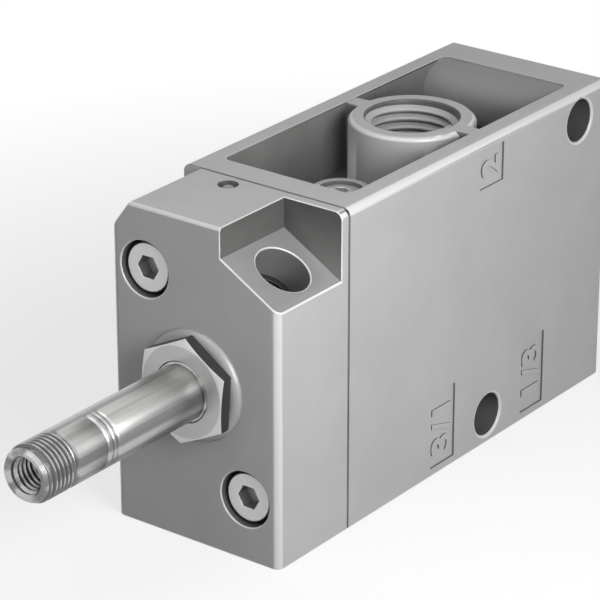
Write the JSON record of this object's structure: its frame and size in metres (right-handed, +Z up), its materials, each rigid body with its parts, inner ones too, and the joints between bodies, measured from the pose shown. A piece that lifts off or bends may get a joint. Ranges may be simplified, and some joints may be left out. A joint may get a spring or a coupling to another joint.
{
  "type": "pneumatic solenoid valve",
  "caption": "Pilot-operated poppet valve with a cast body, three threaded ports, a bolted pilot cover, manual override and an armature tube for a coil.",
  "frame": {"origin": "on the underside, straight below the axis of the top port", "axes": "+X to the rear along the valve axis, away from the armature tube; +Z up, out of the top port; -Y is the side with the port numbers"},
  "size_m": [0.1135, 0.028, 0.047],
  "materials": {
    "cast": "satin",
    "gasket": "matte",
    "screw_steel": "satin",
    "bright_steel": "gloss",
    "black_steel": "satin",
    "plug_steel": "satin",
    "nut_steel": "satin",
    "core_steel": "satin",
    "spring_steel": "gloss",
    "copper": "satin",
    "brass": "satin",
    "light_alloy": "satin",
    "seal_rubber": "matte"
  },
  "bodies": {
    "valve": {"valve_body": "cast", "cover_gasket": "gasket", "pilot_cover": "cast", "cover_screws": "screw_steel", "ball_plug": "bright_steel", "channel_plug": "plug_steel", "channel_plug_seal": "seal_rubber", "tube_washer": "nut_steel", "tube_nut": "nut_steel", "armature_tube": "bright_steel", "tube_seal": "seal_rubber", "end_core": "bright_steel", "shading_ring": "copper", "armature_spring": "spring_steel", "pilot_nozzle": "brass", "nozzle_o_ring": "seal_rubber", "override_spring": "spring_steel", "override_circlip": "spring_steel", "guide_bush": "brass", "guide_bush_seal": "seal_rubber", "bush_circlip": "spring_steel", "stem_seal": "seal_rubber", "seat_sleeve": "brass", "seat_sleeve_seals": "seal_rubber", "return_spring": "spring_steel"},
    "armature": {"armature": "core_steel", "nozzle_seal": "seal_rubber", "exhaust_seal": "seal_rubber"},
    "stem": {"piston": "light_alloy", "piston_seal": "seal_rubber", "stem": "core_steel", "exhaust_poppet": "light_alloy", "exhaust_poppet_seal": "seal_rubber", "supply_poppet": "light_alloy", "supply_poppet_seal": "seal_rubber"},
    "override": {"override_pusher": "black_steel", "override_o_ring": "seal_rubber"}
  },
  "joints": [
    {"name": "armature_slide", "type": "slide", "parent": "valve", "child": "armature", "axis": [-1, 0, 0], "range_m": [0, 0.0008], "stiffness_N_per_m": 500, "springref_m": -0.003, "deforming": ["armature_spring"]},
    {"name": "stem_slide", "type": "slide", "parent": "valve", "child": "stem", "axis": [1, 0, 0], "range_m": [0, 0.00195], "stiffness_N_per_m": 1500, "springref_m": -0.004, "deforming": ["return_spring"]},
    {"name": "override_slide", "type": "slide", "parent": "valve", "child": "override", "axis": [0, 0.5, -0.866], "range_m": [0, 0.0014], "stiffness_N_per_m": 600, "springref_m": -0.002, "deforming": ["override_spring"]}
  ]
}
